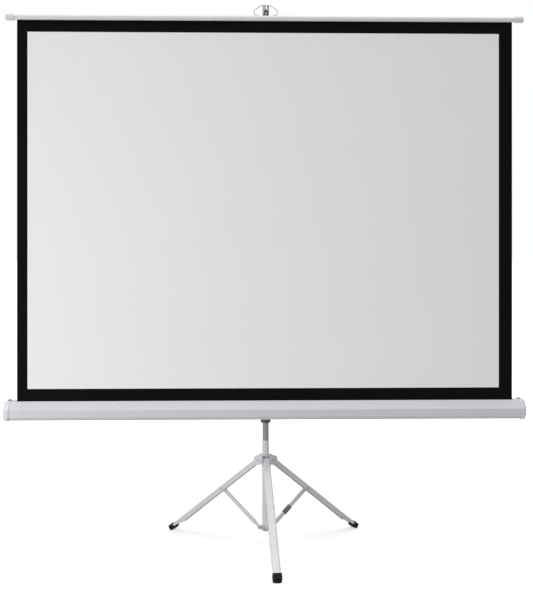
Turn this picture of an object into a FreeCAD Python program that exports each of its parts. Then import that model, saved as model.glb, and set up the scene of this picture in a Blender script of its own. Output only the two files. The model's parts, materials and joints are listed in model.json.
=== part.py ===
"""Portable projection screen on a folding tripod, one STEP file per piece.

Millimetres, +Z up, the picture faces -Y. Pieces are drawn around the mast's axis and then moved
along Y, so that the origin is on the floor under the middle of the whole object.
"""
import FreeCAD, Part
import math
import os

V = FreeCAD.Vector
X_AXIS = V(1, 0, 0)
Y_AXIS = V(0, 1, 0)
Z_AXIS = V(0, 0, 1)

# Clearances
running_gap = 0.05        # a pin, shaft or tube that turns or slides in its bore
side_gap = 0.3            # between flat or curved faces of pieces that move past each other
seat_gap = 0.1            # a fixed piece in its seat
length_match = 0.01       # an edge is told by its length to within this

# Picture and fabric
view_width = 2032.0       # the white area, 80 inches wide
view_height = 1524.0      # and 60 inches high, 4:3
border_side = 46.0        # black border at each side
border_top = 50.5
border_bottom = 52.5      # the part of the lower border that shows above the case
fabric_thickness = 0.5

# Case: an aluminium profile with three flats on its front
case_bottom = 560.0       # height of its underside above the floor
case_front_height = 30.5  # the upright flat
case_slope_top = 33.5     # the upper 45 degree flat, measured upright
case_slope_bottom = 14.5  # the lower 45 degree flat, measured upright
case_wall = 1.8
case_past_fabric = 29.5   # profile past the fabric's edge at each end
slot_behind_slope = 1.5   # from the slope's top edge to the slot
slot_width = 7.0

# End caps of the case
cap_overhang = 3.0        # how far the cap stands out around the profile
cap_flange = 9.0
cap_dome = 15.5
cap_dome_share = 0.80     # size of the dome's flat end against the flange
cap_spigot = 22.0         # the part that plugs into the profile
cap_screw_radius = 2.0
cap_screw_head = 4.0
cap_screw_length = 12.0
cap_screw_shares = (0.25, 0.75)  # heights of the two screws, as shares of the case's height
cap_shoulder = 0.6        # where the dome's shoulder lies, as a share of the dome's length
roller_seat_radius = 10.0

# Spring roller
roller_radius = 15.0
roller_wall = 1.2
roll_room = 6.75          # between the roll and the case's back wall
roll_build = 1.2          # wraps of fabric left on the roller when the picture is out
roller_height = 33.0      # its axis above the case's underside
roller_plug_length = 22.0
roller_pin_radius = 4.0
spring_radius = 8.0
spring_length = 640.0
plug_lip = 2.0

# Top bar
bar_radius = 12.0
bar_wall = 1.6
bar_slot = 2.0
hem_radius = 3.0
bar_plug_radius = 15.0
bar_plug_bulb = 38.0
bar_plug_neck = 10.0
bar_plug_neck_radius = 10.8
bar_plug_spigot = 26.0

# Bail on the top bar
bail_wire_radius = 1.75
bail_half_width = 49.0
bail_side = 27.0          # length of its upright sides
bail_top_half = 20.0
bail_lean = 31.0          # degrees, leaning back to the hook
bail_length = 54.3        # from its axis to its crossbar
bail_bend = 5.0
bail_lift = 2.2           # from the bar's top to the bail's axis
bail_pin_past = 4.0       # its turned-in ends past the lugs
lug_gap = 2.0             # between a lug and the bail's bend
lug_width = 8.0

# Extension rod with its head
rod_play = 1.8            # between the rod and the mast's bore, filled by bush and guide
rod_wall = 1.0
rod_in_mast = 110.0       # length that stays in the mast when drawn out
rod_guide_length = 20.0
cap_block_base = 29.0     # rod head, wide at the foot and narrow at the top
cap_block_top = 8.0
cap_block_foot = 8.0
cap_block_height = 34.0
cap_block_back = 13.0
head_gap = 0.55           # between the bail's crossbar and the head's front
rod_seat = 20.0
tab_width = 17.0
tab_thickness = 2.0
tab_offset = 6.5          # the tab stands this far to the left
tab_above = 6.0           # its rounded top above the crossbar's axis
tab_below = 30.0
hook_width = 6.0
hook_offset = 10.0        # and the hook this far to the right
hook_thickness = 2.5
hook_lip = 1.6
hook_above = 4.0
hook_below = 34.0
hook_rivet_radius = 4.0
hook_rivet_round = 0.9
head_below_bail = 14.0    # from the crossbar's underside down to the head's top

# Mast
mast_radius = 13.75
mast_wall = 1.2
mast_below_pivot = 38.0   # the mast's foot under the leg pivots, inside the outer tube
mast_top = 1420.0
bush_head_radius = 17.0
bush_head = 26.0
bush_plug = 30.0
rod_button_radius = 5.0
rod_button_travel = 3.0
button_stand = 4.0        # how far a button stands out of its boss
button_boss_wall = 3.0
button_seat = 7.0         # length of a button inside its boss
button_spring_outer = 0.7  # radii of a button's spring, as shares of the button's radius
button_spring_inner = 0.5

# Stop collar and carriage
stop_radius = 22.5
stop_height = 12.0
stop_below_pivot = 54.25  # from the case's pivot down to the stop collar's top
stop_screw_radius = 2.5
stop_screw_head = 5.0
carriage_radius = 18.0
carriage_height = 97.0
carriage_boss_radius = 20.0
carriage_boss_stand = 2.0  # the pivot boss's face in front of the sleeve
pivot_bolt_radius = 5.0
pivot_head_radius = 9.0
pivot_head = 3.5
pivot_washer = 1.2
pivot_washer_radius = 15.0
pivot_plate = 3.0
pivot_plate_width = 90.0
pivot_plate_height = 60.0
plate_rivet_radius = 2.5
plate_rivet_head = 4.5
plate_rivet_inset = 9.0
height_button_radius = 6.0
height_button_travel = 3.5
height_button_below = 24.0  # under the pivot's axis

# Tripod
legs_turn = 0.6           # degrees that the legs stand turned under the case
front_leg_turn = 3.5      # and the front leg further than the others
tube_gap = 0.15           # between the mast and the outer tube
tube_wall = 1.35
tube_above_pivot = 86.0   # the outer tube's top above the leg pivots
tube_bush_length = 30.0
tube_bush_lip = 4.0
tube_bush_wall = 1.55
mast_rivet_below = 18.0   # under the outer tube's top
mast_rivet_radius = 2.5
hub_below_pivot = 19.0
hub_above_pivot = 28.0
cheek_radius = 22.0       # the hub's round cheeks beside each leg
cheek_wall = 3.0
cheek_start = 8.0         # where a cheek grows out of the hub, from the mast's axis
pivot_radius = 28.0       # leg and brace pivots, from the mast's axis
lug_end_radius = 6.2
pin_radius = 3.0
pin_head_radius = 4.2
pin_head = 1.5
leg_angle = 51.5          # degrees from upright when spread
leg_width = 32.0
leg_above = 13.5          # web above the pivot line
leg_below = 10.0           # flanges below the pivot line
leg_past_pivot = 12.0     # the leg's rounded end beyond the pivot
leg_wall = 1.5
leg_corner = 8.0
leg_length = 580.0        # from the pivot to the end inside the foot
tongue_below = 1.0        # flanges left below the pivot line near the foot
tongue_length = 66.0
brace_length = 239.0      # equal to the distance from the leg's pivot to the brace's rivet
brace_depth = 17.0
brace_width = 10.0
brace_wall = 1.2
brace_corner = 2.25
brace_tongue = 5.0
brace_tongue_length = 30.0
brace_end_radius = 6.0
crimp_radius = 1.6
band_length = 43.0
band_centre = 134.0       # from the brace's rivet
band_wall = 0.8
collar_radius = 16.0
collar_below = 8.0       # under the brace pivots
collar_above = 13.0
ear_width = 4.0
ear_end_radius = 6.5
spreader_wall = 1.5
spreader_below_pivot = 56.0  # the spreader rod's top under the leg pivots
spreader_gap = 0.4        # between the spread collar and the outer tube's bush

# Feet
foot_cover = 23.0         # how far the foot reaches up the leg from the leg's end
foot_past_leg = 12.0
sole_cut = 5.3            # depth of the flat cut from the foot's lowest corner
foot_wall = 2.5
foot_below = 7.5
foot_nose = 13.0
foot_notch = 9.0         # notch in each side of the foot
foot_notch_half = 4.5

# Places worked out from the sizes above
leg_tilt = 90.0 - leg_angle
rod_radius = mast_radius - mast_wall - rod_play
tube_radius = mast_radius + tube_gap + tube_wall
tube_bore = tube_radius - tube_wall
spreader_radius = tube_bore - tube_bush_wall - 2 * running_gap
hub_radius = pivot_radius - leg_below
foot_start = leg_length - foot_cover
foot_end = leg_length + foot_past_leg
sole_depth = foot_below * math.cos(math.radians(leg_tilt)) - sole_cut
pivot_height = foot_end * math.sin(math.radians(leg_tilt)) + sole_depth
collar_z = pivot_height - 2 * brace_length * math.cos(math.radians(leg_angle))
tube_foot = collar_z + collar_above + spreader_gap + tube_bush_lip
tube_top = pivot_height + tube_above_pivot
mast_rivet_height = tube_top - mast_rivet_below
mast_foot = pivot_height - mast_below_pivot
spreader_top = pivot_height - spreader_below_pivot
hub_bottom = pivot_height - hub_below_pivot
hub_top = pivot_height + hub_above_pivot
leg_azimuths = {"front": -90.0 + legs_turn + front_leg_turn, "right": 30.0 + legs_turn,
                "left": 150.0 + legs_turn}
fabric_half = view_width / 2 + border_side
case_height = case_slope_bottom + case_front_height + case_slope_top
case_top = case_bottom + case_height
carriage_boss_face = carriage_radius + carriage_boss_stand
case_behind = carriage_boss_face + pivot_washer + 2 * side_gap + pivot_plate
roll_radius = roller_radius + roll_build
fabric_depth = case_slope_top + slot_behind_slope + slot_width / 2
case_depth = fabric_depth + fabric_thickness / 2 + side_gap + 2 * roll_radius + roll_room + case_wall
case_back_y = -case_behind
case_front_y = case_back_y - case_depth
fabric_y = case_front_y + fabric_depth
slot_back_y = fabric_y + slot_width / 2
case_half = fabric_half + case_past_fabric
roller_y = fabric_y + fabric_thickness / 2 + side_gap + roll_radius
roller_z = case_bottom + roller_height
roller_half = fabric_half + plug_lip
bar_z = case_top + border_bottom + view_height + border_top + bar_radius
bail_z = bar_z + bar_radius + bail_lift
lug_centre = bail_half_width - bail_bend - lug_gap - lug_width / 2
bail_pin_end = lug_centre - lug_width / 2 - bail_pin_past
cross_y = fabric_y + bail_length * math.sin(math.radians(bail_lean))
cross_z = bail_z + bail_length * math.cos(math.radians(bail_lean))
head_front_y = cross_y + bail_wire_radius + head_gap
head_top = cross_z - bail_wire_radius - head_below_bail
head_bottom = head_top - cap_block_height
rod_bottom = mast_top - rod_in_mast
pivot_z = case_bottom + case_height / 2
stop_top = pivot_z - stop_below_pivot
plate_back_y = case_back_y + pivot_plate


def box(low, high):
    size = high - low
    return Part.makeBox(size.x, size.y, size.z, low)


def cylinder(radius, start, direction, length):
    return Part.makeCylinder(radius, length, start, direction)


def tube(outer, inner, start, direction, length):
    return cylinder(outer, start, direction, length).cut(cylinder(inner, start, direction, length))


def prism(points, direction):
    return Part.Face(Part.makePolygon(points + [points[0]])).extrude(direction)


def outline_prism(edges, direction):
    return Part.Face(Part.Wire(edges)).extrude(direction)


def line(start, end):
    return Part.makeLine(start, end)


def arc(start, middle, end):
    return Part.Arc(start, middle, end).toShape()


def rounded_path(points, radius):
    """Straight runs through the points, joined by arcs of one radius."""
    edges = []
    start = points[0]
    for before, corner, after in zip(points, points[1:], points[2:]):
        back = (before - corner).normalize()
        onward = (after - corner).normalize()
        half = back.getAngle(onward) / 2
        reach = radius / math.tan(half)
        entry = corner + back * reach
        leave = corner + onward * reach
        middle = corner + (back + onward).normalize() * (radius / math.sin(half) - radius)
        edges.append(line(start, entry))
        edges.append(arc(entry, middle, leave))
        start = leave
    edges.append(line(start, points[-1]))
    return Part.Wire(edges)


def bent_wire(points, bend, radius):
    section = Part.Wire([Part.Circle(points[0], points[1] - points[0], radius).toShape()])
    return rounded_path(points, bend).makePipeShell([section], True, True)


def turned(shape, centre, axis, degrees):
    copy = shape.copy()
    copy.rotate(centre, axis, degrees)
    return copy


def on_leg(shape, azimuth):
    """From leg coordinates (X along the leg, Z away from the mast) to the spread leg."""
    copy = turned(shape, V(0, 0, 0), Y_AXIS, leg_tilt)
    copy.translate(V(pivot_radius, 0, pivot_height))
    copy.rotate(V(0, 0, 0), Z_AXIS, azimuth)
    return copy


def on_brace(shape, azimuth):
    """From brace coordinates (X from the rivet to the collar) to the spread brace."""
    copy = turned(shape, V(0, 0, 0), Y_AXIS, 180.0 - leg_tilt)
    along = math.radians(leg_angle)
    rivet = V(pivot_radius + brace_length * math.sin(along), 0, pivot_height - brace_length * math.cos(along))
    copy.translate(rivet)
    copy.rotate(V(0, 0, 0), Z_AXIS, azimuth)
    return copy


def around(shape):
    """The same shape at each of the three legs."""
    return [turned(shape, V(0, 0, 0), Z_AXIS, azimuth) for azimuth in leg_azimuths.values()]


def cross_pin(centre, half_length):
    """A headed pin along Y, with its heads outside half_length."""
    pin = cylinder(pin_radius, centre - Y_AXIS * half_length, Y_AXIS, 2 * half_length)
    for side in (-1, 1):
        outward = Y_AXIS * side
        pin = pin.fuse(cylinder(pin_head_radius, centre + outward * half_length, outward, pin_head))
    return pin.removeSplitter()


def leg_pieces(azimuth):
    """One leg channel, its foot and the rivet of its brace."""
    half = leg_width / 2
    inner_half = half - leg_wall
    top = leg_above
    flat = half - leg_corner
    shoulder = top - leg_corner
    bend = leg_corner * math.sqrt(0.5)
    inner_bend = (leg_corner - leg_wall) * math.sqrt(0.5)
    x0 = -leg_past_pivot
    section = [
        line(V(x0, -half, -leg_below), V(x0, -half, shoulder)),
        arc(V(x0, -half, shoulder), V(x0, -flat - bend, shoulder + bend), V(x0, -flat, top)),
        line(V(x0, -flat, top), V(x0, flat, top)),
        arc(V(x0, flat, top), V(x0, flat + bend, shoulder + bend), V(x0, half, shoulder)),
        line(V(x0, half, shoulder), V(x0, half, -leg_below)),
        line(V(x0, half, -leg_below), V(x0, inner_half, -leg_below)),
        line(V(x0, inner_half, -leg_below), V(x0, inner_half, shoulder)),
        arc(V(x0, inner_half, shoulder), V(x0, flat + inner_bend, shoulder + inner_bend),
            V(x0, flat, top - leg_wall)),
        line(V(x0, flat, top - leg_wall), V(x0, -flat, top - leg_wall)),
        arc(V(x0, -flat, top - leg_wall), V(x0, -flat - inner_bend, shoulder + inner_bend),
            V(x0, -inner_half, shoulder)),
        line(V(x0, -inner_half, shoulder), V(x0, -inner_half, -leg_below)),
        line(V(x0, -inner_half, -leg_below), V(x0, -half, -leg_below)),
    ]
    channel = outline_prism(section, V(leg_length - x0, 0, 0))
    tongue_start = leg_length - tongue_length
    round_low = (leg_past_pivot + leg_below) / 2 * math.sqrt(0.5)
    round_top = leg_past_pivot * math.sqrt(0.5)
    side = [
        line(V(leg_length, -half, -tongue_below), V(tongue_start + leg_below, -half, -tongue_below)),
        line(V(tongue_start + leg_below, -half, -tongue_below), V(tongue_start, -half, -leg_below)),
        line(V(tongue_start, -half, -leg_below), V(0, -half, -leg_below)),
        arc(V(0, -half, -leg_below), V(-round_low, -half, -round_low), V(x0, -half, 0)),
        arc(V(x0, -half, 0), V(-round_top, -half, top - leg_past_pivot + round_top), V(0, -half, top)),
        line(V(0, -half, top), V(leg_length, -half, top)),
        line(V(leg_length, -half, top), V(leg_length, -half, -tongue_below)),
    ]
    leg = channel.common(outline_prism(side, V(0, leg_width, 0)))
    for along in (0, brace_length):
        leg = leg.cut(cylinder(pin_radius + running_gap, V(along, -leg_width, 0), Y_AXIS, 2 * leg_width))
    rivet = cross_pin(V(brace_length, 0, 0), half + seat_gap)
    floor = box(V(-3 * leg_length, -3 * leg_length, -leg_length), V(3 * leg_length, 3 * leg_length, 0))
    return on_leg(leg, azimuth), on_leg(foot_block(), azimuth).cut(floor), on_leg(rivet, azimuth)


def foot_block():
    """The moulded foot before its sole is cut flat: a rounded cap over the leg's tongue."""
    half = leg_width / 2 + foot_wall
    top = leg_above + foot_wall
    low = -foot_below
    bend = foot_nose * math.sqrt(0.5)
    end = foot_end
    shoulder = end - foot_nose
    side = [
        line(V(foot_start, -half, low), V(end, -half, low)),
        line(V(end, -half, low), V(end, -half, top - foot_nose)),
        arc(V(end, -half, top - foot_nose), V(shoulder + bend, -half, top - foot_nose + bend),
            V(shoulder, -half, top)),
        line(V(shoulder, -half, top), V(foot_start, -half, top)),
        line(V(foot_start, -half, top), V(foot_start, -half, low)),
    ]
    plan = [
        line(V(foot_start, -half, low), V(shoulder, -half, low)),
        arc(V(shoulder, -half, low), V(shoulder + bend, -half + foot_nose - bend, low),
            V(end, -half + foot_nose, low)),
        line(V(end, -half + foot_nose, low), V(end, half - foot_nose, low)),
        arc(V(end, half - foot_nose, low), V(shoulder + bend, half - foot_nose + bend, low),
            V(shoulder, half, low)),
        line(V(shoulder, half, low), V(foot_start, half, low)),
        line(V(foot_start, half, low), V(foot_start, -half, low)),
    ]
    foot = outline_prism(side, V(0, 2 * half, 0)).common(outline_prism(plan, V(0, 0, top - low)))
    pocket = box(V(foot_start, -leg_width / 2 - seat_gap, -tongue_below - seat_gap),
                 V(leg_length + seat_gap, leg_width / 2 + seat_gap, leg_above + seat_gap))
    notch_z = leg_above / 2
    notch = prism([V(foot_start, -half, notch_z - foot_notch_half),
                   V(foot_start, -half, notch_z + foot_notch_half),
                   V(foot_start + foot_notch, -half, notch_z)], V(0, 2 * half, 0))
    return foot.cut(pocket).cut(notch)


def brace_pieces(azimuth):
    """A brace: a flat-sided tube with crimped tongues at its ends."""
    half_depth = brace_depth / 2
    half_width = brace_width / 2
    body_end = brace_length - brace_tongue_length
    outer = box(V(0, -half_width, -half_depth), V(body_end, half_width, half_depth))
    outer = outer.makeFillet(brace_corner, [edge for edge in outer.Edges
                                            if abs(edge.BoundBox.XLength - body_end) < length_match])
    head = cylinder(half_depth, V(0, -half_width, 0), Y_AXIS, brace_width)
    body = outer.fuse(head).removeSplitter()
    hollow = box(V(brace_depth, -half_width + brace_wall, -half_depth + brace_wall),
                 V(body_end - brace_depth, half_width - brace_wall, half_depth - brace_wall))
    body = body.cut(hollow)
    for side in (-1, 1):
        notch = cylinder(crimp_radius, V(body_end - 2 * crimp_radius, -brace_width, side * half_depth),
                         Y_AXIS, 2 * brace_width)
        body = body.cut(notch)
    tongue = box(V(body_end - crimp_radius, -brace_tongue / 2, -brace_end_radius),
                 V(brace_length, brace_tongue / 2, brace_end_radius))
    tip = cylinder(brace_end_radius, V(brace_length, -brace_tongue / 2, 0), Y_AXIS, brace_tongue)
    brace = body.fuse([tongue, tip]).removeSplitter()
    for along in (0, brace_length):
        brace = brace.cut(cylinder(pin_radius + running_gap, V(along, -leg_width, 0), Y_AXIS, 2 * leg_width))
    return on_brace(brace, azimuth)


def brace_band(azimuth):
    """The plain dark sleeve on one brace."""
    half_depth = brace_depth / 2 + seat_gap
    half_width = brace_width / 2 + seat_gap
    start = band_centre - band_length / 2
    end = band_centre + band_length / 2
    inner = box(V(start, -half_width, -half_depth), V(end, half_width, half_depth))
    outer = box(V(start, -half_width - band_wall, -half_depth - band_wall),
                V(end, half_width + band_wall, half_depth + band_wall))
    return on_brace(outer.cut(inner), azimuth)


def tripod():
    """Outer tube, hub, legs, braces and the sliding spreader under them."""
    pieces = {}
    rivet_hole = cylinder(mast_rivet_radius + seat_gap, V(0, 0, mast_rivet_height), Y_AXIS, 2 * tube_radius)
    outer = tube(tube_radius, tube_bore, V(0, 0, tube_foot), Z_AXIS, tube_top - tube_foot)
    pieces["outer_tube"] = outer.cut(rivet_hole)
    rivet_start = mast_radius - mast_wall
    rivet = cylinder(mast_rivet_radius, V(0, rivet_start, mast_rivet_height), Y_AXIS,
                     tube_radius + seat_gap - rivet_start)
    head = cylinder(2 * mast_rivet_radius, V(0, tube_radius + seat_gap, mast_rivet_height), Y_AXIS, pin_head)
    pieces["mast_rivet"] = rivet.fuse(head)
    bush = cylinder(tube_bore - running_gap, V(0, 0, tube_foot), Z_AXIS, tube_bush_length)
    lip = cylinder(tube_radius, V(0, 0, tube_foot - tube_bush_lip), Z_AXIS, tube_bush_lip)
    bush_bore = cylinder(spreader_radius + running_gap, V(0, 0, tube_foot - tube_bush_lip), Z_AXIS,
                         tube_bush_lip + tube_bush_length)
    pieces["tube_bush"] = bush.fuse(lip).removeSplitter().cut(bush_bore)
    lug_half = leg_width / 2 - leg_wall - 3 * side_gap
    hub = cylinder(hub_radius, V(0, 0, hub_bottom), Z_AXIS, hub_top - hub_bottom)
    hub = hub.makeFillet(leg_wall, [hub.Edges[0], hub.Edges[2]])
    lug = box(V(0, -lug_half, pivot_height - lug_end_radius),
              V(pivot_radius, lug_half, pivot_height + lug_end_radius))
    lug = lug.fuse(cylinder(lug_end_radius, V(pivot_radius, -lug_half, pivot_height), Y_AXIS, 2 * lug_half))
    hole = cylinder(pin_radius + running_gap, V(pivot_radius, -leg_width, pivot_height), Y_AXIS,
                    2 * leg_width)
    cheek_inner = leg_width / 2 + side_gap
    grown = around(lug)
    for side in (-1, 1):
        edges = sorted((side * cheek_inner, side * (cheek_inner + cheek_wall)))
        arm = box(V(cheek_start, edges[0], hub_bottom),
                  V(pivot_radius, edges[1], pivot_height + hub_below_pivot))
        disc = cylinder(cheek_radius, V(pivot_radius, edges[0], pivot_height), Y_AXIS, cheek_wall)
        grown.extend(around(arm.fuse(disc)))
    hub = hub.fuse(grown).removeSplitter()
    hub = hub.cut(cylinder(tube_radius + seat_gap, V(0, 0, hub_bottom), Z_AXIS, hub_top - hub_bottom))
    for cutter in around(hole):
        hub = hub.cut(cutter)
    pieces["hub"] = hub
    pin = cross_pin(V(pivot_radius, 0, pivot_height), cheek_inner + cheek_wall + seat_gap)
    pieces["leg_pins"] = Part.makeCompound(around(pin))
    for side, azimuth in leg_azimuths.items():
        leg, foot, rivet = leg_pieces(azimuth)
        pieces["leg_" + side] = leg
        pieces["foot_" + side] = foot
        pieces["brace_rivet_" + side] = rivet
        pieces["brace_" + side] = brace_pieces(azimuth)
    pieces["brace_band"] = brace_band(leg_azimuths["right"])
    pieces.update(spreader())
    return pieces


def spreader():
    """The collar that the braces meet at, on a rod that slides out of the outer tube."""
    low = collar_z - collar_below
    high = collar_z + collar_above
    ring = cylinder(collar_radius, V(0, 0, low), Z_AXIS, high - low)
    inner = brace_tongue / 2 + side_gap
    ears = []
    for side in (-1, 1):
        near = side * inner
        far = side * (inner + ear_width)
        ear = box(V(0, min(near, far), collar_z - ear_end_radius),
                  V(pivot_radius, max(near, far), collar_z + ear_end_radius))
        end = cylinder(ear_end_radius, V(pivot_radius, min(near, far), collar_z), Y_AXIS, ear_width)
        ears.extend(around(ear.fuse(end)))
    collar = ring.fuse(ears).removeSplitter()
    collar = collar.cut(cylinder(spreader_radius + seat_gap, V(0, 0, low), Z_AXIS, high - low))
    hole = cylinder(pin_radius + running_gap, V(pivot_radius, -leg_width, collar_z), Y_AXIS, 2 * leg_width)
    tongue_room = brace_end_radius + side_gap
    slot = box(V(pivot_radius - tongue_room, -inner, collar_z - tongue_room),
               V(pivot_radius + tongue_room, inner, collar_z + tongue_room))
    for cutter in around(hole) + around(slot):
        collar = collar.cut(cutter)
    rod = tube(spreader_radius, spreader_radius - spreader_wall, V(0, 0, low), Z_AXIS, spreader_top - low)
    pin = cross_pin(V(pivot_radius, 0, collar_z), inner + ear_width + seat_gap)
    return {"spreader_collar": collar, "spreader_rod": rod, "collar_pins": Part.makeCompound(around(pin))}


def sprung_button(radius, travel, height, face, back):
    """A push button along Y in a blind bore, with its spring: the bore, the button and the spring."""
    depth = face - back
    bore = cylinder(radius + running_gap, V(0, back, height), Y_AXIS, depth)
    button = cylinder(radius, V(0, face - button_seat, height), Y_AXIS, button_seat + button_stand)
    button = button.makeFillet(button_stand / 4, [edge for edge in button.Edges
                                                  if edge.BoundBox.YMin > face + button_stand / 2])
    spring = tube(radius * button_spring_outer, radius * button_spring_inner, V(0, back + seat_gap, height),
                  Y_AXIS, depth - button_seat - 2 * seat_gap)
    return bore, button, spring


def mast():
    """Mast tube, the stop collar on it, and the bush at its top with the rod's lock button."""
    pieces = {}
    bore = mast_radius - mast_wall
    shaft = tube(mast_radius, bore, V(0, 0, mast_foot), Z_AXIS, mast_top - mast_foot)
    rivet_hole = cylinder(mast_rivet_radius + seat_gap, V(0, 0, mast_rivet_height), Y_AXIS, 2 * tube_radius)
    pieces["mast_tube"] = shaft.cut(rivet_hole)
    stop_bottom = stop_top - stop_height
    stop = tube(stop_radius, mast_radius + seat_gap, V(0, 0, stop_bottom), Z_AXIS, stop_height)
    screw_z = stop_bottom + stop_height / 2
    screw_start = mast_radius + 2 * seat_gap
    stop = stop.cut(cylinder(stop_screw_radius + running_gap, V(0, 0, screw_z), Y_AXIS, 2 * stop_radius))
    screw = cylinder(stop_screw_radius, V(0, screw_start, screw_z), Y_AXIS,
                     stop_radius + seat_gap - screw_start)
    head = cylinder(stop_screw_head, V(0, stop_radius + seat_gap, screw_z), Y_AXIS, stop_screw_head)
    pieces["stop_collar"] = stop
    pieces["stop_screw"] = screw.fuse(head)
    plug = cylinder(bore - seat_gap, V(0, 0, mast_top - bush_plug), Z_AXIS, bush_plug)
    bush_top = mast_top + bush_head
    head = cylinder(bush_head_radius, V(0, 0, mast_top), Z_AXIS, bush_head)
    button_z = mast_top + bush_head / 2
    back = rod_radius + button_boss_wall
    face = back + rod_button_travel + button_seat + button_stand
    half = rod_button_radius + button_boss_wall
    boss = box(V(-half, 0, button_z - half), V(half, face, button_z + half))
    bush = plug.fuse([head, boss]).removeSplitter()
    bush = bush.cut(cylinder(rod_radius + running_gap, V(0, 0, mast_top - bush_plug), Z_AXIS,
                             bush_top - mast_top + bush_plug))
    bore_cut, button, spring = sprung_button(rod_button_radius, rod_button_travel, button_z, face, back)
    pieces["mast_bush"] = bush.cut(bore_cut)
    pieces["rod_button"] = button
    pieces["rod_button_spring"] = spring
    return pieces


def extension_rod():
    """The rod that draws out of the mast, its guide, and the head with tab and hook."""
    pieces = {}
    top = head_bottom + rod_seat
    pieces["extension_rod"] = tube(rod_radius, rod_radius - rod_wall, V(0, 0, rod_bottom), Z_AXIS,
                                   top - rod_bottom)
    guide = cylinder(mast_radius - mast_wall - seat_gap, V(0, 0, rod_bottom - plug_lip), Z_AXIS, plug_lip)
    spigot = cylinder(rod_radius - rod_wall - seat_gap, V(0, 0, rod_bottom), Z_AXIS, rod_guide_length)
    pieces["rod_guide"] = guide.fuse(spigot).removeSplitter()
    base = cap_block_base / 2
    crest = cap_block_top / 2
    block = prism([V(-base, head_front_y, head_bottom), V(base, head_front_y, head_bottom),
                   V(base, head_front_y, head_bottom + cap_block_foot), V(crest, head_front_y, head_top),
                   V(-crest, head_front_y, head_top), V(-base, head_front_y, head_bottom + cap_block_foot)],
                  V(0, cap_block_back - head_front_y, 0))
    block = block.cut(cylinder(rod_radius + seat_gap, V(0, 0, head_bottom), Z_AXIS, rod_seat + seat_gap))
    tab_front = head_front_y + tab_thickness
    tab_back = tab_front + tab_thickness
    tab_left = -tab_offset - tab_width / 2
    tab_right = tab_left + tab_width
    tab_top = cross_z + tab_above
    tab_low = cross_z - tab_below
    tab_round = tab_top - tab_width / 2
    tab = box(V(tab_left, tab_front, tab_low), V(tab_right, tab_back, tab_round))
    crown = cylinder(tab_width / 2, V(-tab_offset, tab_front, tab_round), Y_AXIS, tab_thickness)
    tab = tab.fuse(crown).removeSplitter()
    hook_back = tab_front + hook_thickness
    post = box(V(hook_offset - hook_width / 2, tab_front, cross_z - hook_below),
               V(hook_offset + hook_width / 2, hook_back, cross_z + hook_above))
    floor_top = cross_z - bail_wire_radius - side_gap
    lip_back = cross_y - bail_wire_radius - side_gap
    floor = box(V(hook_offset - hook_width / 2, lip_back - hook_thickness, floor_top - hook_thickness),
                V(hook_offset + hook_width / 2, hook_back, floor_top))
    lip = box(V(hook_offset - hook_width / 2, lip_back - hook_thickness, floor_top - hook_thickness),
              V(hook_offset + hook_width / 2, lip_back, floor_top + hook_lip))
    hook = post.fuse([floor, lip]).removeSplitter()
    rivet_z = head_bottom + cap_block_height / 2
    rivet = cylinder(hook_rivet_radius, V(0, head_front_y - pin_head, rivet_z), Y_AXIS, pin_head)
    rivet = rivet.makeFillet(hook_rivet_round, [edge for edge in rivet.Edges
                                                if edge.BoundBox.YMax < head_front_y - pin_head / 2])
    shank = cylinder(hook_rivet_radius / 2, V(0, head_front_y - pin_head / 2, rivet_z), Y_AXIS,
                     hook_thickness + tab_thickness + pin_head)
    rivet = rivet.fuse(shank)
    for piece in (tab, hook):
        room = piece.BoundBox
        block = block.cut(box(V(room.XMin - seat_gap, tab_front - seat_gap, room.ZMin - seat_gap),
                              V(room.XMax + seat_gap, hook_back + seat_gap, room.ZMax + seat_gap)))
    rivet_hole = cylinder(hook_rivet_radius / 2 + seat_gap, V(0, head_front_y - pin_head, rivet_z), Y_AXIS,
                          hook_thickness + tab_thickness + 2 * pin_head + seat_gap)
    pieces["rod_head"] = block.cut(rivet_hole)
    pieces["hook_tab"] = tab.cut(rivet_hole)
    pieces["hook"] = hook
    pieces["hook_rivet"] = rivet
    return pieces


def carriage():
    """The slide on the mast that carries the case on a pivot, with its lock button."""
    pieces = {}
    low = stop_top + side_gap
    sleeve = cylinder(carriage_radius, V(0, 0, low), Z_AXIS, carriage_height)
    sleeve = sleeve.makeFillet(leg_wall, [sleeve.Edges[0], sleeve.Edges[2]])
    boss = cylinder(carriage_boss_radius, V(0, 0, pivot_z), Y_AXIS * -1, carriage_boss_face)
    button_z = pivot_z - height_button_below
    back = mast_radius + button_boss_wall
    face = back + height_button_travel + button_seat + button_stand
    half = height_button_radius + button_boss_wall
    pad = box(V(-half, 0, button_z - half), V(half, face, button_z + half))
    body = sleeve.fuse([boss, pad]).removeSplitter()
    body = body.cut(cylinder(mast_radius + running_gap, V(0, 0, low), Z_AXIS, carriage_height))
    bore, button, spring = sprung_button(height_button_radius, height_button_travel, button_z, face, back)
    body = body.cut(bore)
    bolt_start = mast_radius + 2 * side_gap
    body = body.cut(cylinder(pivot_bolt_radius + running_gap, V(0, 0, pivot_z), Y_AXIS * -1,
                             carriage_boss_face))
    pieces["carriage_body"] = body
    pieces["height_button"] = button
    pieces["height_spring"] = spring
    head_y = case_back_y - case_wall - side_gap
    bolt = cylinder(pivot_bolt_radius, V(0, -bolt_start, pivot_z), Y_AXIS * -1, -head_y - bolt_start)
    head = cylinder(pivot_head_radius, V(0, head_y, pivot_z), Y_AXIS * -1, pivot_head)
    pieces["pivot_bolt"] = bolt.fuse(head).removeSplitter()
    washer_start = carriage_boss_face + side_gap
    pieces["pivot_washer"] = tube(pivot_washer_radius, pivot_bolt_radius + running_gap,
                                  V(0, -washer_start, pivot_z), Y_AXIS * -1, pivot_washer)
    return pieces


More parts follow.
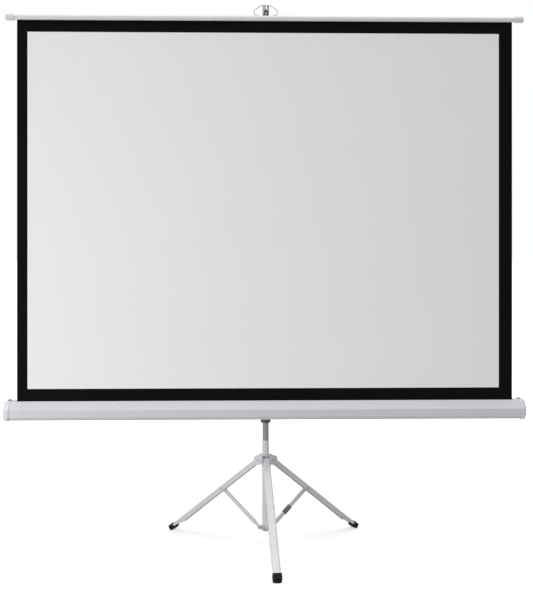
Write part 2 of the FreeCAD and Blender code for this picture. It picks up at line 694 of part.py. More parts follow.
def case_outline(x, grow):
    """The case's section at x, moved outward by grow, as a list of corners."""
    slope = math.radians(45.0)
    slant = grow * math.tan(slope / 2)
    return [
        V(x, case_back_y + grow, case_bottom - grow),
        V(x, case_front_y + case_slope_bottom - slant, case_bottom - grow),
        V(x, case_front_y - grow, case_bottom + case_slope_bottom - slant),
        V(x, case_front_y - grow, case_top - case_slope_top + slant),
        V(x, case_front_y + case_slope_top - slant, case_top + grow),
        V(x, case_back_y + grow, case_top + grow),
    ]


def end_cap(side):
    """One end cap: a spigot in the profile, a flange around it, a dome, and the roller's seat."""
    start = side * case_half
    spigot = prism(case_outline(start - side * cap_spigot, -case_wall - seat_gap), V(side * cap_spigot, 0, 0))
    hollow = prism(case_outline(start - side * cap_spigot, -3 * case_wall), V(side * cap_spigot, 0, 0))
    flange = prism(case_outline(start, cap_overhang), V(side * cap_flange, 0, 0))
    dome_start = start + side * cap_flange
    dome_end = dome_start + side * cap_dome
    foot = case_outline(dome_start, cap_overhang)
    middle = V(dome_start, (case_front_y + case_back_y) / 2, (case_bottom + case_top) / 2)
    crown = [middle + (corner - middle) * cap_dome_share + X_AXIS * (dome_end - dome_start)
             for corner in foot]
    shoulder_share = (1 + cap_dome_share) / 2 + (1 - cap_dome_share) / 4
    shoulder = [middle + (corner - middle) * shoulder_share + X_AXIS * (dome_end - dome_start) * cap_shoulder
                for corner in foot]
    loops = [Part.makePolygon(ring + [ring[0]]) for ring in (foot, shoulder, crown)]
    dome = Part.makeLoft(loops, True, True)
    seat_length = case_half - roller_half - side_gap
    seat = cylinder(roller_seat_radius, V(start, roller_y, roller_z), X_AXIS * -side, seat_length)
    cap = flange.fuse([dome, spigot.cut(hollow), seat]).removeSplitter()
    pin_depth = seat_length + cap_flange / 2
    pin_hole = cylinder(roller_pin_radius + running_gap,
                        V(start + side * cap_flange / 2, roller_y, roller_z), X_AXIS * -side, pin_depth)
    cap = cap.cut(pin_hole)
    for hole in cap_screw_shanks(side, seat_gap):
        cap = cap.cut(hole)
    return cap


def cap_screw_places(side):
    """Two screws through the profile's back into each cap's spigot."""
    x = side * (case_half - cap_spigot / 2)
    return [V(x, case_back_y, case_bottom + share * case_height) for share in cap_screw_shares]


def cap_screw_shanks(side, grow):
    return [cylinder(cap_screw_radius + grow, place + Y_AXIS * seat_gap, Y_AXIS * -1, cap_screw_length + grow)
            for place in cap_screw_places(side)]


def case():
    """The profile with its slot, end caps, pivot plate and screws."""
    pieces = {}
    shell = prism(case_outline(-case_half, 0), V(2 * case_half, 0, 0))
    shell = shell.cut(prism(case_outline(-case_half, -case_wall), V(2 * case_half, 0, 0)))
    slot = box(V(-case_half, slot_back_y - slot_width, case_top - 2 * case_wall),
               V(case_half, slot_back_y, case_top + case_wall))
    shell = shell.cut(slot)
    rivet_places = []
    for x_side in (-1, 1):
        for z_side in (-1, 1):
            rivet_places.append(V(x_side * (pivot_plate_width / 2 - plate_rivet_inset), plate_back_y,
                                  pivot_z + z_side * (pivot_plate_height / 2 - plate_rivet_inset)))
    plate = box(V(-pivot_plate_width / 2, case_back_y, pivot_z - pivot_plate_height / 2),
                V(pivot_plate_width / 2, plate_back_y, pivot_z + pivot_plate_height / 2))
    plate = plate.makeFillet(plate_rivet_inset, [edge for edge in plate.Edges
                                                 if abs(edge.BoundBox.YLength - pivot_plate) < length_match])
    pivot_hole = cylinder(pivot_bolt_radius + running_gap, V(0, 0, pivot_z), Y_AXIS * -1, case_depth)
    shell = shell.cut(cylinder(pivot_bolt_radius + running_gap, V(0, 0, pivot_z), Y_AXIS * -1,
                               case_behind + 2 * case_wall))
    plate = plate.cut(pivot_hole)
    rivets = []
    for place in rivet_places:
        length = pivot_plate + case_wall
        hole = cylinder(plate_rivet_radius + seat_gap, place, Y_AXIS * -1, length)
        shell = shell.cut(hole)
        plate = plate.cut(hole)
        inside = place - Y_AXIS * (length + seat_gap)
        shank = cylinder(plate_rivet_radius, place - Y_AXIS * seat_gap, Y_AXIS * -1, length)
        head = cylinder(plate_rivet_head, inside, Y_AXIS * -1, pin_head)
        rivets.append(shank.fuse(head))
    screws = []
    for side, name in ((-1, "left"), (1, "right")):
        for hole in cap_screw_shanks(side, seat_gap):
            shell = shell.cut(hole)
        for place, shank in zip(cap_screw_places(side), cap_screw_shanks(side, 0)):
            head = cylinder(cap_screw_head, place + Y_AXIS * seat_gap, Y_AXIS, cap_screw_radius)
            head = head.makeFillet(cap_screw_radius / 2, [edge for edge in head.Edges
                                                          if edge.BoundBox.YMin > place.y + cap_screw_radius])
            screws.append(shank.fuse(head))
        pieces["end_cap_" + name] = end_cap(side)
    pieces["case_shell"] = shell
    pieces["pivot_plate"] = plate
    pieces["plate_rivets"] = Part.makeCompound(rivets)
    pieces["cap_screws"] = Part.makeCompound(screws)
    return pieces


def roller():
    """The sprung roller inside the case, the fabric left on it, and the fixed spring shaft."""
    pieces = {}
    inner = roller_radius - roller_wall
    axis_start = V(-fabric_half, roller_y, roller_z)
    pieces["roller_tube"] = tube(roller_radius, inner, axis_start, X_AXIS, 2 * fabric_half)
    pieces["fabric_roll"] = tube(roll_radius, roller_radius + running_gap, axis_start, X_AXIS,
                                 2 * fabric_half)
    for side, name in ((-1, "left"), (1, "right")):
        end = V(side * fabric_half, roller_y, roller_z)
        plug = cylinder(inner - seat_gap, end, X_AXIS * -side, roller_plug_length)
        lip = cylinder(roller_radius, end, X_AXIS * side, plug_lip)
        plug = plug.fuse(lip).removeSplitter()
        hole = cylinder(roller_pin_radius + running_gap, end + X_AXIS * side * plug_lip, X_AXIS * -side,
                        roller_plug_length + plug_lip)
        pieces["roller_plug_" + name] = plug.cut(hole)
    pin_start = case_half + cap_flange / 2 - side_gap
    pin_end = fabric_half - roller_plug_length
    pieces["roller_gudgeon"] = cylinder(roller_pin_radius, V(pin_end, roller_y, roller_z), X_AXIS,
                                        pin_start - pin_end)
    spring_start = fabric_half - roller_plug_length - side_gap
    shaft_end = spring_start - spring_length
    pieces["spring_shaft"] = cylinder(roller_pin_radius, V(-pin_start, roller_y, roller_z), X_AXIS,
                                      pin_start - shaft_end)
    pieces["roller_spring"] = tube(spring_radius, roller_pin_radius + side_gap,
                                   V(-spring_start, roller_y, roller_z), X_AXIS, spring_length)
    return pieces


def top_bar():
    """The bar that the fabric hangs from, with its plugs, the rod in the hem and the bail's lugs."""
    pieces = {}
    start = V(-fabric_half, fabric_y, bar_z)
    inner = bar_radius - bar_wall
    bar = tube(bar_radius, inner, start, X_AXIS, 2 * fabric_half)
    slot = box(V(-fabric_half, fabric_y - bar_slot / 2, bar_z - bar_radius - bar_wall),
               V(fabric_half, fabric_y + bar_slot / 2, bar_z - inner / 2))
    pieces["bar_tube"] = bar.cut(slot)
    hem_z = bar_z - inner + hem_radius + seat_gap
    plug_room = bar_plug_spigot + side_gap
    pieces["hem_rod"] = cylinder(hem_radius, V(-fabric_half + plug_room, fabric_y, hem_z), X_AXIS,
                                 2 * (fabric_half - plug_room))
    for side, name in ((-1, "left"), (1, "right")):
        end = V(side * fabric_half, fabric_y, bar_z)
        outward = X_AXIS * side
        spigot = cylinder(inner - seat_gap, end, outward * -1, bar_plug_spigot)
        neck = cylinder(bar_plug_neck_radius, end, outward, bar_plug_neck)
        bulb = cylinder(bar_plug_radius, end + outward * bar_plug_neck, outward, bar_plug_bulb)
        bulb = bulb.makeFillet(bar_plug_radius / 3, [edge for edge in bulb.Edges
                                                     if edge.BoundBox.XLength < length_match])
        pieces["bar_plug_" + name] = spigot.fuse([neck, bulb]).removeSplitter()
    lugs = []
    for side in (-1, 1):
        left = side * lug_centre - lug_width / 2
        lug = box(V(left, fabric_y - lug_width / 2, bar_z),
                  V(left + lug_width, fabric_y + lug_width / 2, bail_z))
        lug = lug.fuse(cylinder(lug_width / 2, V(left, fabric_y, bail_z), X_AXIS, lug_width)).removeSplitter()
        lug = lug.cut(cylinder(bar_radius + running_gap, V(left, fabric_y, bar_z), X_AXIS, lug_width))
        lug = lug.cut(cylinder(bail_wire_radius + running_gap, V(left, fabric_y, bail_z), X_AXIS, lug_width))
        lugs.append(lug)
    pieces["bail_lugs"] = Part.makeCompound(lugs)
    return pieces


def screen():
    """The picture surface, from the roller to the top bar, and the bail over the bar."""
    pieces = {}
    top = bar_z - bar_radius + bar_wall - seat_gap
    pieces["screen_fabric"] = box(V(-fabric_half, fabric_y - fabric_thickness / 2, roller_z),
                                  V(fabric_half, fabric_y + fabric_thickness / 2, top))
    route = [V(-bail_pin_end, 0, 0), V(-bail_half_width, 0, 0), V(-bail_half_width, 0, bail_side),
             V(-bail_top_half, 0, bail_length)]
    mirrored = [V(-point.x, point.y, point.z) for point in reversed(route)]
    bail = bent_wire(route + mirrored, bail_bend, bail_wire_radius)
    bail.rotate(V(0, 0, 0), X_AXIS, -bail_lean)
    bail.translate(V(0, fabric_y, bail_z))
    pieces["bail"] = bail
    return pieces


def main():
    pieces = {}
    for group in (tripod, mast, extension_rod, carriage, case, roller, top_bar, screen):
        pieces.update(group())
    reach = [shape.optimalBoundingBox() for name, shape in pieces.items() if name.startswith("foot_")]
    middle = (min(room.YMin for room in reach) + max(room.YMax for room in reach)) / 2
    os.makedirs("parts", exist_ok=True)
    for name, shape in pieces.items():
        shape.translate(V(0, -middle, 0))
        shape.exportStep("parts/" + name + ".step")
    print("pieces", len(pieces), "mast axis at y", round(-middle, 4))


main()
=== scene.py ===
"""Looks of the portable projection screen: materials, the cloth, and the small parts around the solids.

Metres, +Z up, the picture faces -Y. Places come from the solids' own boxes.
"""
import bmesh
import bpy
import json
import math
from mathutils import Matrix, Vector


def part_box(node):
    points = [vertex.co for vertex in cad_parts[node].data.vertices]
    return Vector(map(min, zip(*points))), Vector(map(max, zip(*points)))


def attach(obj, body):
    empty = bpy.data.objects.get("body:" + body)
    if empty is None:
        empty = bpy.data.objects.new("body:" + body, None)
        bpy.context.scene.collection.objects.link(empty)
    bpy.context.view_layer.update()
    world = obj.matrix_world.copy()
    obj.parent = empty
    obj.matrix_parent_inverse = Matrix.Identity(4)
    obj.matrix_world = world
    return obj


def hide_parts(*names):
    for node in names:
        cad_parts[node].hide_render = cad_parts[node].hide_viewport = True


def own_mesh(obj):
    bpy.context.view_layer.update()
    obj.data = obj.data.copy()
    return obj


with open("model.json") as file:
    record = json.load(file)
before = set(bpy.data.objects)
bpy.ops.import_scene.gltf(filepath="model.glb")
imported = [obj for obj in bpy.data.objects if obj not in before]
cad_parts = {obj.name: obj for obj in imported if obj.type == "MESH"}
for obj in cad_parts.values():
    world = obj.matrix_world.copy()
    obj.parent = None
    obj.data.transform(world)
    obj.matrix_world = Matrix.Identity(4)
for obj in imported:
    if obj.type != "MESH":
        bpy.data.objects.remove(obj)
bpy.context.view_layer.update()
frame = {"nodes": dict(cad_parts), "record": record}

# Picture
view_width = 2.022
view_height = 1.524
border_bottom = 0.0525      # lower border that shows above the case
picture_shift = -0.0065     # the white area sits a little to the left on the cloth
cloth_thickness = 0.0004
cloth_step = 0.03           # spacing of the cloth's mesh
ripple = 0.0007             # depth of the slight waves in the stretched cloth
wave_rate = 5.0             # radians of wave per metre of width
wave_drift = 1.7            # radians that the waves shift by between the case and the bar
curl_depth = 1.6            # how far the side edges curl forward, in ripples
curl_power = 12             # the higher, the nearer to the edges the curl stays
facing_front = -0.5         # a face looks to the front if its normal's Y is below this

# Cloth wound on the roller
wrap_pitch = 0.00044
wrap_turns = 1.6
wrap_segments = 64          # per turn
wrap_step = 0.2             # spacing of the mesh along the roller

# Wound wire springs
roller_wire = 0.0022
roller_coils = 90
button_wire = 0.0008
button_coils = 4
coil_segments = 14          # per turn
wire_sides = 6

# Camera, fitted to the photograph
image_width = 533
image_height = 590
focal_pixels = 986.8
horizon_row = 240.75
middle_column = 265.6
camera_back = 4.3           # from the mast's axis
camera_height = 1.3234
camera_turn = math.radians(1.36)
sensor = 36.0               # millimetres

# Floor and surround
floor_reach = 60.0
floor_grey = 0.5
glow_near = 0.6             # the floor's own light around the stand, where it keeps the shadow
glow_far = 1.0
fade_start = 0.7            # distances between which that light rises
fade_end = 2.6
ambient = 0.5               # light that the surround sheds on the object

# Solids whose finish differs a little from that of their slot
own_finish = {
    "brace_band": "grey_plastic", "spreader_collar": "pale_plastic", "bail": "wire_grey",
    "leg_pins": "pin_steel", "collar_pins": "pin_steel", "brace_rivet_front": "pin_steel",
    "brace_rivet_left": "pin_steel", "brace_rivet_right": "pin_steel", "bar_tube": "bar_white",
}

# Dark blocks on the end caps: painted shade, black pieces standing in for the shaded gap at the top of each
# cap
block_size = (0.011, 0.016, 0.0025)
block_from_profile = 0.0045   # along the case, outward from the end of the profile
block_behind_cloth = 0.012
block_round = 0.0009


class Surface:
    """A procedural material under construction, in object coordinates."""

    def __init__(self, name, metallic=0.0):
        self.material = bpy.data.materials.new(name)
        self.material.use_nodes = True
        self.nodes = self.material.node_tree.nodes
        self.links = self.material.node_tree.links
        self.shader = self.nodes["Principled BSDF"]
        self.shader.inputs["Metallic"].default_value = metallic
        self.place = self.add("ShaderNodeTexCoord").outputs["Object"]

    def add(self, kind, **settings):
        node = self.nodes.new(kind)
        for key, value in settings.items():
            setattr(node, key, value)
        return node

    def link(self, output, socket):
        self.links.new(output, socket)

    def noise(self, scale, detail=2.0, stretch=(1.0, 1.0, 1.0)):
        """Noise with the given waves per metre, finer where stretch is larger."""
        mapping = self.add("ShaderNodeMapping")
        mapping.inputs["Scale"].default_value = stretch
        self.link(self.place, mapping.inputs["Vector"])
        texture = self.add("ShaderNodeTexNoise")
        texture.inputs["Scale"].default_value = scale
        texture.inputs["Detail"].default_value = detail
        self.link(mapping.outputs["Vector"], texture.inputs["Vector"])
        return texture.outputs["Fac"]

    def spread(self, value, low=0.0, high=1.0, start=0.3, end=0.7):
        """Maps a value from start..end, where most noise lies, to low..high."""
        node = self.add("ShaderNodeMapRange")
        node.inputs["From Min"].default_value = start
        node.inputs["From Max"].default_value = end
        node.inputs["To Min"].default_value = low
        node.inputs["To Max"].default_value = high
        self.link(value, node.inputs["Value"])
        return node.outputs["Result"]

    def product(self, first, second):
        node = self.add("ShaderNodeMath", operation="MULTIPLY")
        self.link(first, node.inputs[0])
        self.link(second, node.inputs[1])
        return node.outputs["Value"]

    def between(self, factor, first, second):
        """Colour between two colours, given as tuples or outputs."""
        node = self.add("ShaderNodeMix", data_type="RGBA")
        self.link(factor, node.inputs["Factor"])
        for socket, colour in ((node.inputs["A"], first), (node.inputs["B"], second)):
            if isinstance(colour, tuple):
                socket.default_value = colour + (1.0,)
            else:
                self.link(colour, socket)
        return node.outputs["Result"]

    def edge(self, radius):
        """The softened normal, and a mask that is 1 along edges: it carries the worn paint of coated metal
        and the painted highlights along the edges of drawn metal and moulded pieces.
        """
        bevel = self.add("ShaderNodeBevel", samples=4)
        bevel.inputs["Radius"].default_value = radius
        flat = self.add("ShaderNodeNewGeometry")
        dot = self.add("ShaderNodeVectorMath", operation="DOT_PRODUCT")
        self.link(bevel.outputs["Normal"], dot.inputs[0])
        self.link(flat.outputs["Normal"], dot.inputs[1])
        mask = self.spread(dot.outputs["Value"], low=1.0, high=0.0, start=0.75, end=0.98)
        return bevel.outputs["Normal"], mask

    def bump(self, height, depth, normal=None):
        node = self.add("ShaderNodeBump")
        node.inputs["Distance"].default_value = depth
        self.link(height, node.inputs["Height"])
        if normal is not None:
            self.link(normal, node.inputs["Normal"])
        self.link(node.outputs["Normal"], self.shader.inputs["Normal"])

    def colour(self, output):
        self.link(output, self.shader.inputs["Base Color"])

    def roughness(self, output):
        self.link(output, self.shader.inputs["Roughness"])


def shade(colour, factor):
    return tuple(channel * factor for channel in colour)


def coated_metal(name, colour, roughness, wear=0.82):
    """Powder-coated or painted metal: fine orange peel, faint unevenness, worn edges."""
    surface = Surface(name)
    normal, edge = surface.edge(radius=0.0008)
    uneven = surface.spread(surface.noise(scale=7.0, detail=4.0))
    body = surface.between(uneven, shade(colour, factor=0.965), shade(colour, factor=1.02))
    patches = surface.spread(surface.noise(scale=60.0, detail=3.0), start=0.45, end=0.65)
    surface.colour(surface.between(surface.product(edge, patches), body, shade(colour, factor=wear)))
    dull = surface.noise(scale=35.0, detail=3.0)
    surface.roughness(surface.spread(dull, low=roughness - 0.05, high=roughness + 0.06))
    surface.bump(surface.noise(scale=1100.0, detail=1.0), depth=0.00004, normal=normal)
    return surface.material


def drawn_metal(name, colour, roughness, along, metallic):
    """Extruded, drawn or plated metal with fine lines along one axis."""
    surface = Surface(name, metallic)
    normal, edge = surface.edge(radius=0.0006)
    stretch = tuple(0.02 if axis == along else 1.0 for axis in range(3))
    lines = surface.noise(scale=1500.0, detail=3.0, stretch=stretch)
    cloud = surface.noise(scale=9.0, detail=3.0)
    body = surface.between(surface.spread(lines), shade(colour, factor=0.96), shade(colour, factor=1.03))
    tone = surface.spread(cloud, high=0.35)
    body = surface.between(tone, body, shade(colour, factor=0.93))
    # Edges painted 10% lighter than the body: a painted highlight along the rounded edges.
    surface.colour(surface.between(edge, body, shade(colour, factor=1.1)))
    surface.roughness(surface.spread(lines, low=roughness - 0.06, high=roughness + 0.08))
    surface.bump(lines, depth=0.00002, normal=normal)
    return surface.material


def moulded(name, colour, roughness, grain, depth, shine=0.5):
    """Moulded plastic or rubber with a fine grain, and edges painted lighter: partly rubbed wear, partly a
    painted highlight.
    """
    surface = Surface(name)
    surface.shader.inputs["Specular IOR Level"].default_value = shine
    normal, edge = surface.edge(radius=0.001)
    cloud = surface.spread(surface.noise(scale=14.0, detail=4.0))
    body = surface.between(cloud, shade(colour, factor=0.93), shade(colour, factor=1.07))
    # Every edge up to about 17% lighter: partly rubbed wear, partly a painted highlight along the edges.
    worn_and_highlit = surface.spread(edge, high=0.5, start=0.0, end=1.0)
    surface.colour(surface.between(worn_and_highlit, body, shade(colour, factor=1.35)))
    dull = surface.noise(scale=90.0, detail=2.0)
    surface.roughness(surface.spread(dull, low=roughness - 0.06, high=roughness + 0.06))
    surface.bump(surface.noise(scale=grain, detail=2.0), depth, normal)
    return surface.material


def cloth_surface(name, colour, roughness, weave, depth, shine):
    """Coated screen cloth: a fine crossed weave under a matt coating, with a slight cloudiness."""
    surface = Surface(name)
    cloud = surface.spread(surface.noise(scale=3.0, detail=4.0))
    threads = surface.noise(scale=weave, detail=0.0, stretch=(1.0, 1.0, 0.12))
    across = surface.noise(scale=weave, detail=0.0, stretch=(0.12, 1.0, 1.0))
    height = surface.add("ShaderNodeMath", operation="ADD")
    surface.link(threads, height.inputs[0])
    surface.link(across, height.inputs[1])
    fine = surface.spread(height.outputs["Value"], start=0.7, end=1.3)
    body = surface.between(cloud, shade(colour, factor=0.985), shade(colour, factor=1.005))
    surface.colour(surface.between(fine, shade(colour, factor=0.97), body))
    surface.roughness(surface.spread(fine, low=roughness + 0.05, high=roughness - 0.05, start=0.0, end=1.0))
    surface.shader.inputs["Specular IOR Level"].default_value = shine
    surface.bump(height.outputs["Value"], depth)
    return surface.material


def make_materials():
    """One material per slot of the record, those of own_finish, and the black of the cloth.

    The numbers after a colour are, for coated metal, roughness and wear; for drawn metal, roughness, the
    axis of its lines and how metallic it is; for moulded pieces and cloth, roughness, grain or weave per
    metre, its depth and the shine.
    """
    return {
        "white_paint": coated_metal("white_paint", (0.66, 0.655, 0.685), 0.42),
        # The mast's dark grey is painted shade: the shadow that the case casts on the white pole, put into
        # the mast's own colour.
        "mast_grey": coated_metal("mast_grey", (0.26, 0.26, 0.263), 0.45, 1.3),
        "case_silver": drawn_metal("case_silver", (0.60, 0.60, 0.635), 0.46, 0, 0.0),
        "white_plastic": moulded("white_plastic", (0.64, 0.64, 0.67), 0.45, 900.0, 0.00004),
        "dark_plastic": moulded("dark_plastic", (0.05, 0.05, 0.053), 0.5, 1200.0, 0.00005),
        "nylon": moulded("nylon", (0.62, 0.61, 0.56), 0.5, 700.0, 0.00003),
        "grey_plastic": moulded("grey_plastic", (0.16, 0.16, 0.163), 0.5, 1200.0, 0.00004, 0.35),
        "pale_plastic": moulded("pale_plastic", (0.38, 0.38, 0.39), 0.5, 1200.0, 0.00004, 0.35),
        "black_rubber": moulded("black_rubber", (0.005, 0.005, 0.005), 0.62, 1600.0, 0.00008, 0.12),
        "steel": drawn_metal("steel", (0.56, 0.56, 0.57), 0.34, 2, 1.0),
        "bar_white": coated_metal("bar_white", (0.72, 0.715, 0.74), 0.42),
        "wire_grey": coated_metal("wire_grey", (0.36, 0.36, 0.365), 0.4, 1.2),
        "pin_steel": drawn_metal("pin_steel", (0.26, 0.26, 0.27), 0.4, 2, 1.0),
        "dark_steel": coated_metal("dark_steel", (0.09, 0.09, 0.09), 0.4, 1.5),
        "screen_cloth": cloth_surface("screen_white", (0.88, 0.88, 0.88), 0.85, 2600.0, 0.00003, 0.15),
        "cloth_black": cloth_surface("screen_black", (0.004, 0.004, 0.004), 0.75, 1800.0, 0.00005, 0.04),
    }


def dress_solids(materials):
    """Gives each solid its own finish, or else the material of its slot in the record."""
    for part in frame["record"]["subparts"]:
        solid = frame["nodes"][part["node"]]
        finish = own_finish.get(part["node"], part["material_slot"])
        solid.data.materials.clear()
        solid.data.materials.append(materials[finish])


def new_piece(name, points, faces, body):
    """A smooth mesh piece that rides on a body."""
    mesh = bpy.data.meshes.new(name)
    mesh.from_pydata(points, [], faces)
    mesh.validate()
    mesh.update()
    for polygon in mesh.polygons:
        polygon.use_smooth = True
    piece = bpy.data.objects.new(name, mesh)
    bpy.context.scene.collection.objects.link(piece)
    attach(piece, body)
    return piece


def stations(marks, step):
    """The marks and evenly spaced places between them, no further apart than step."""
    places = [marks[0]]
    for start, end in zip(marks, marks[1:]):
        count = max(1, math.ceil((end - start) / step))
        places.extend(start + (end - start) * index / count for index in range(1, count + 1))
    return places


def thin_sheet(rows):
    """Points and faces of a closed thin sheet, from rows of (front, back) pairs of points."""
    width = len(rows[0])
    points = [pair[0] for row in rows for pair in row] + [pair[1] for row in rows for pair in row]
    back = len(rows) * width
    faces = []
    sides = []
    for row in range(len(rows) - 1):
        for column in range(width - 1):
            corner = row * width + column
            faces.append((corner, corner + 1, corner + width + 1, corner + width))
            faces.append((back + corner, back + corner + width, back + corner + width + 1, back + corner + 1))
    for row in range(len(rows) - 1):
        for column, flip in ((0, False), (width - 1, True)):
            low = row * width + column
            side = (low, low + width, back + low + width, back + low)
            sides.append(tuple(reversed(side)) if flip else side)
    for column in range(width - 1):
        for row, flip in ((0, True), (len(rows) - 1, False)):
            low = row * width + column
            side = (low, low + 1, back + low + 1, back + low)
            sides.append(tuple(reversed(side)) if flip else side)
    return points, faces + sides


def screen_cloth(materials):
    """The stretched picture cloth: white face, black border, black back."""
    low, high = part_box("screen_fabric")
    case_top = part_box("case_shell")[1].z
    middle_y = (low.y + high.y) / 2
    picture_left = picture_shift - view_width / 2
    picture_right = picture_shift + view_width / 2
    picture_low = case_top + border_bottom
    picture_high = picture_low + view_height
    columns = stations([low.x, picture_left, picture_right, high.x], cloth_step)
    heights = stations([low.z, case_top, picture_low, picture_high, high.z], cloth_step)
    rows = []
    for z in heights:
        share = min(1.0, max(0.0, (z - case_top) / (high.z - case_top)))
        row = []
        for x in columns:
            wave = math.sin(wave_rate * x + wave_drift * share) * math.sin(math.pi * share) ** 2
            curl = abs(x / high.x) ** curl_power * math.sin(math.pi * share) ** 0.5
            y = middle_y + ripple * (wave - curl_depth * curl)
            row.append((Vector((x, y - cloth_thickness / 2, z)), Vector((x, y + cloth_thickness / 2, z))))
        rows.append(row)
    points, faces = thin_sheet(rows)
    piece = new_piece("screen_cloth", points, faces, "case")
    piece.data.materials.append(materials["screen_cloth"])
    piece.data.materials.append(materials["cloth_black"])
    for polygon in piece.data.polygons:
        centre = polygon.center
        inside = picture_left < centre.x < picture_right and picture_low < centre.z < picture_high
        polygon.material_index = 0 if inside and polygon.normal.y < facing_front else 1
    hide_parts("screen_fabric")
    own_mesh(piece)


def cloth_wraps(materials):
    """The cloth that stays wound on the roller."""
    low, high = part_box("fabric_roll")
    axis_y = (low.y + high.y) / 2
    axis_z = (low.z + high.z) / 2
    outer = (high.z - low.z) / 2 - cloth_thickness / 2
    count = round(wrap_turns * wrap_segments)
    columns = stations([low.x, high.x], wrap_step)
    rows = []
    for index in range(count + 1):
        angle = 2 * math.pi * index / wrap_segments
        radius = outer - wrap_pitch * (wrap_turns - angle / (2 * math.pi))
        out = Vector((0, -math.cos(angle), math.sin(angle)))
        row = []
        for x in columns:
            centre = Vector((x, axis_y, axis_z)) + out * radius
            row.append((centre + out * cloth_thickness / 2, centre - out * cloth_thickness / 2))
        rows.append(row)
    points, faces = thin_sheet(rows)
    piece = new_piece("cloth_wraps", points, faces, "roller")
    piece.data.materials.append(materials["cloth_black"])
    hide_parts("fabric_roll")


def coil_spring(name, node, axis, wire, turns, body, materials):
    """A wound wire spring in the place of a plain solid, along X (0) or Y (1)."""
    low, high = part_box(node)
    length = high[axis] - low[axis] - wire
    across = [index for index in range(3) if index != axis]
    middle = (low + high) / 2
    radius = (high[across[0]] - low[across[0]]) / 2 - wire / 2
    forward = Vector((0, 0, 0))
    forward[axis] = 1.0
    steps = turns * coil_segments
    points = []
    faces = []
    for index in range(steps + 1):
        angle = 2 * math.pi * turns * index / steps
        out = Vector((0, 0, 0))
        out[across[0]] = math.cos(angle)
        out[across[1]] = math.sin(angle)
        centre = middle + out * radius
        centre[axis] = low[axis] + wire / 2 + length * index / steps
        for corner in range(wire_sides):
            turn = 2 * math.pi * corner / wire_sides
            points.append(centre + (out * math.cos(turn) + forward * math.sin(turn)) * wire / 2)
    for index in range(steps):
        start = index * wire_sides
        for corner in range(wire_sides):
            after = (corner + 1) % wire_sides
            faces.append((start + corner, start + after, start + wire_sides + after,
                          start + wire_sides + corner))
    faces.append(tuple(range(wire_sides)))
    faces.append(tuple(reversed(range(steps * wire_sides, (steps + 1) * wire_sides))))
    piece = new_piece(name, points, faces, body)
    piece.data.materials.append(materials["steel"])
    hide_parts(node)
    return piece


def springs(materials):
    """The roller's torsion spring and the springs behind the two lock buttons."""
    coil_spring("roller_coil", "roller_spring", 0, roller_wire, roller_coils, "roller", materials)
    for name, node, body, joint in (("rod_button_coil", "rod_button_spring", "stand", "rod_button_press"),
                                    ("height_coil", "height_spring", "carriage", "height_button_press")):
        coil = coil_spring(name, node, 1, button_wire, button_coils, body, materials)
        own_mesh(coil)


def cap_shade_blocks(materials):
    """A small black rubber block on top of each end cap: painted shade, standing in for the dark, shaded gap
    there.
    """
    cloth_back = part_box("screen_fabric")[1].y
    profile_low, profile_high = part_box("case_shell")
    for name, cap, end, outward in (("cap_shade_block_left", "end_cap_left", profile_low.x, -1.0),
                                    ("cap_shade_block_right", "end_cap_right", profile_high.x, 1.0)):
        centre = Vector((end + outward * block_from_profile, cloth_back + block_behind_cloth,
                         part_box(cap)[1].z + block_size[2] / 2))
        shape = bmesh.new()
        bmesh.ops.create_cube(shape, size=1.0)
        bmesh.ops.scale(shape, vec=block_size, verts=shape.verts)
        bmesh.ops.bevel(shape, geom=shape.edges[:], offset=block_round, segments=3, profile=0.5, affect="EDGES")
        bmesh.ops.translate(shape, vec=centre, verts=shape.verts)
        shape.verts.index_update()
        points = [vertex.co.copy() for vertex in shape.verts]
        faces = [tuple(vertex.index for vertex in face.verts) for face in shape.faces]
        shape.free()
        piece = new_piece(name, points, faces, "case")
        piece.data.materials.append(materials["black_rubber"])


def stage():
    """A pale floor that keeps a soft shadow."""
    floor_mesh = bpy.data.meshes.new("floor")
    corners = [(x * floor_reach, y * floor_reach, 0) for x, y in ((-1, -1), (1, -1), (1, 1), (-1, 1))]
    floor_mesh.from_pydata(corners, [], [(0, 1, 2, 3)])
    floor = bpy.data.objects.new("floor", floor_mesh)
    bpy.context.scene.collection.objects.link(floor)
    surface = bpy.data.materials.new("floor_white")
    surface.use_nodes = True
    nodes = surface.node_tree.nodes
    links = surface.node_tree.links
    base = nodes["Principled BSDF"]
    base.inputs["Base Color"].default_value = (floor_grey, floor_grey, floor_grey, 1.0)
    base.inputs["Roughness"].default_value = 0.9
    base.inputs["Specular IOR Level"].default_value = 0.0
    place = nodes.new("ShaderNodeTexCoord")
    distance = nodes.new("ShaderNodeVectorMath")
    distance.operation = "LENGTH"
    links.new(place.outputs["Object"], distance.inputs[0])
    fade = nodes.new("ShaderNodeMapRange")
    fade.inputs["From Min"].default_value = fade_start
    fade.inputs["From Max"].default_value = fade_end
    fade.inputs["To Min"].default_value = glow_near
    fade.inputs["To Max"].default_value = glow_far
    links.new(distance.outputs["Value"], fade.inputs["Value"])
    glow = nodes.new("ShaderNodeEmission")
    glow.inputs["Color"].default_value = (1.0, 1.0, 1.0, 1.0)
    share = nodes.new("ShaderNodeMath")
    share.operation = "MULTIPLY"
    links.new(seen_directly(nodes, links), share.inputs[0])
    links.new(fade.outputs["Result"], share.inputs[1])
    links.new(share.outputs["Value"], glow.inputs["Strength"])
    total = nodes.new("ShaderNodeAddShader")
    links.new(base.outputs["BSDF"], total.inputs[0])
    links.new(glow.outputs["Emission"], total.inputs[1])
    links.new(total.outputs["Shader"], nodes["Material Output"].inputs["Surface"])
    floor_mesh.materials.append(surface)


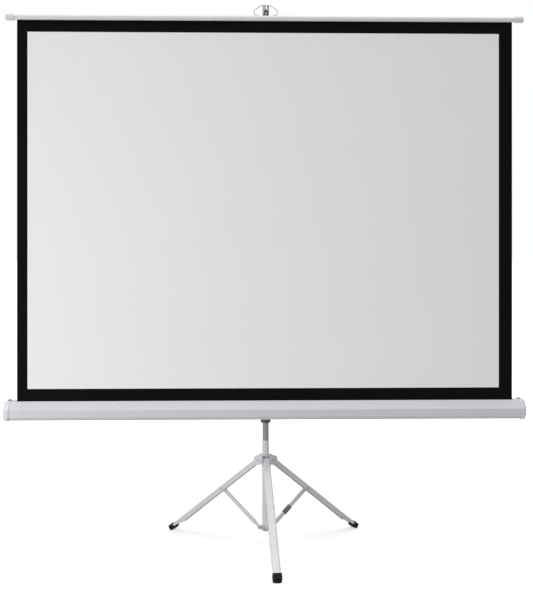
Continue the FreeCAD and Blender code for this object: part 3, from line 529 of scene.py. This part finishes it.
def seen_directly(nodes, links):
    """1 for camera, glossy and transmitted rays, 0 for the light that falls on the object."""
    path = nodes.new("ShaderNodeLightPath")
    value = path.outputs["Is Camera Ray"]
    for name in ("Is Glossy Ray", "Is Transmission Ray"):
        node = nodes.new("ShaderNodeMath")
        node.operation = "MAXIMUM"
        links.new(value, node.inputs[0])
        links.new(path.outputs[name], node.inputs[1])
        value = node.outputs["Value"]
    return value


def surround():
    """A white world for the camera and for reflections, and a softer one for the light it sheds."""
    world = bpy.data.worlds.new("surround")
    bpy.context.scene.world = world
    world.use_nodes = True
    nodes = world.node_tree.nodes
    links = world.node_tree.links
    background = nodes["Background"]
    background.inputs["Color"].default_value = (1.0, 1.0, 1.0, 1.0)
    strength = nodes.new("ShaderNodeMapRange")
    strength.inputs["To Min"].default_value = ambient
    strength.inputs["To Max"].default_value = 1.0
    links.new(seen_directly(nodes, links), strength.inputs["Value"])
    links.new(strength.outputs["Result"], background.inputs["Strength"])


def lamp(name, place, target, width, height, power):
    """A soft rectangular lamp, aimed at the target."""
    data = bpy.data.lights.new(name, "AREA")
    data.shape = "RECTANGLE"
    data.size = width
    data.size_y = height
    data.energy = power
    obj = bpy.data.objects.new(name, data)
    bpy.context.scene.collection.objects.link(obj)
    obj.location = place
    obj.rotation_euler = (Vector(target) - Vector(place)).to_track_quat("-Z", "Y").to_euler()


def camera():
    """The photograph's viewpoint: level, a little left of the middle and turned slightly to the right."""
    mast_low, mast_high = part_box("mast_tube")
    mast = (mast_low + mast_high) / 2
    data = bpy.data.cameras.new("camera")
    data.sensor_fit = "AUTO"
    data.sensor_width = sensor
    data.lens = focal_pixels / image_height * sensor
    data.shift_x = (image_width / 2 - middle_column) / image_height
    data.shift_y = (horizon_row - image_height / 2) / image_height
    obj = bpy.data.objects.new("camera", data)
    bpy.context.scene.collection.objects.link(obj)
    obj.location = (mast.x - camera_back * math.sin(camera_turn),
                    mast.y - camera_back * math.cos(camera_turn), camera_height)
    obj.rotation_euler = (math.pi / 2, 0.0, -camera_turn)
    bpy.context.scene.camera = obj


def main():
    camera()
    materials = make_materials()
    dress_solids(materials)
    screen_cloth(materials)
    cloth_wraps(materials)
    springs(materials)
    cap_shade_blocks(materials)
    stage()
    surround()
    lamp("key", place=(-2.9, -3.0, 0.6), target=(-0.7, 0.0, 0.8), width=2.4, height=1.8, power=74.0)
    lamp("top", place=(0.0, -0.8, 9.0), target=(0.0, -0.1, 0.6), width=8.0, height=5.0, power=420.0)
    lamp("back", place=(1.5, 4.0, 3.5), target=(0.0, 0.0, 1.0), width=3.0, height=3.0, power=60.0)
    bpy.context.scene.view_settings.view_transform = "Standard"


main()
